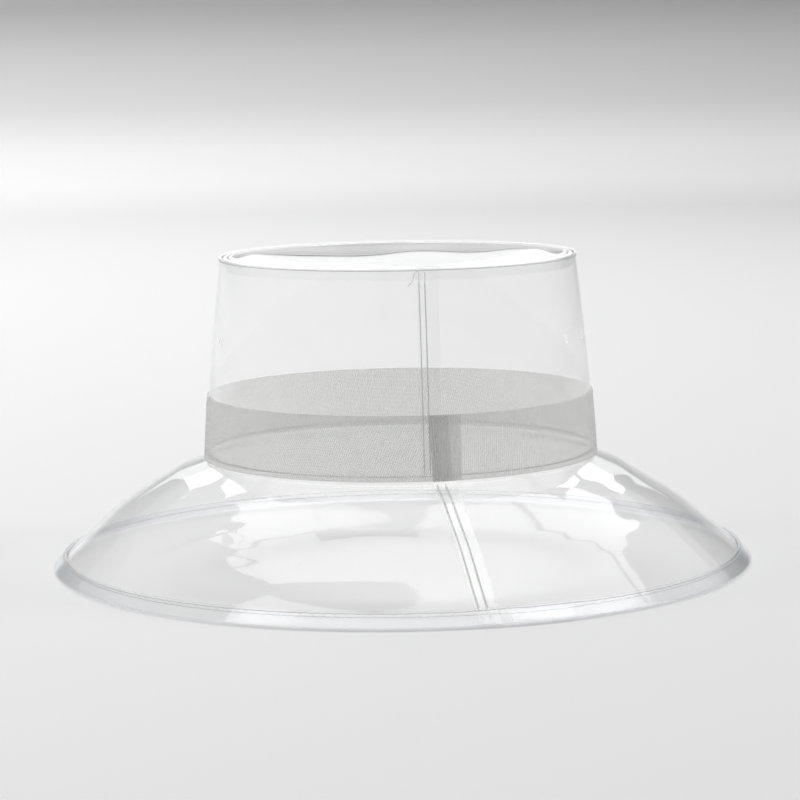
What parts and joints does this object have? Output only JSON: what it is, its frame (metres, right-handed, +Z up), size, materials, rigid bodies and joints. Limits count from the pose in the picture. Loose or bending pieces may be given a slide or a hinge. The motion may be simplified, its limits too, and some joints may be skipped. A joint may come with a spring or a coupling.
{
  "type": "clear rain hat",
  "caption": "Clear vinyl bucket rain hat with a flat-topped tapered crown, a wide sloping brim with a bound edge, and a woven ribbon round the foot of the crown.",
  "frame": {"origin": "middle of the ring that the hat stands on, level with the bottom of the brim's bound edge", "axes": "+Z up through the crown, -Y towards the crown and brim seams, +X to the wearer's left when the seams face forward"},
  "size_m": [0.3346, 0.3348, 0.1467],
  "materials": {
    "clear_vinyl": "clear soft vinyl sheet, glossy, with soft waves",
    "binding_vinyl": "clear vinyl tape folded over the edge, glossy",
    "ribbon": "ribbed woven ribbon, pale grey-white, slightly see-through",
    "thread": "pale polyester sewing thread"
  },
  "bodies": {
    "root": {"crown_tip": "clear_vinyl", "crown_wall": "clear_vinyl", "brim": "clear_vinyl", "brim_binding": "binding_vinyl", "hat_band": "ribbon", "tip_seam_needle_thread": "thread", "tip_seam_bobbin_thread": "thread", "crown_seam_left_needle_thread": "thread", "crown_seam_left_bobbin_thread": "thread", "crown_seam_right_needle_thread": "thread", "crown_seam_right_bobbin_thread": "thread", "joint_seam_needle_thread": "thread", "joint_seam_bobbin_thread": "thread", "band_lap_needle_thread": "thread", "band_lap_bobbin_thread": "thread", "brim_seam_left_needle_thread": "thread", "brim_seam_left_bobbin_thread": "thread", "brim_seam_right_needle_thread": "thread", "brim_seam_right_bobbin_thread": "thread", "binding_seam_needle_thread": "thread", "binding_seam_bobbin_thread": "thread"}
  },
  "joints": []
}
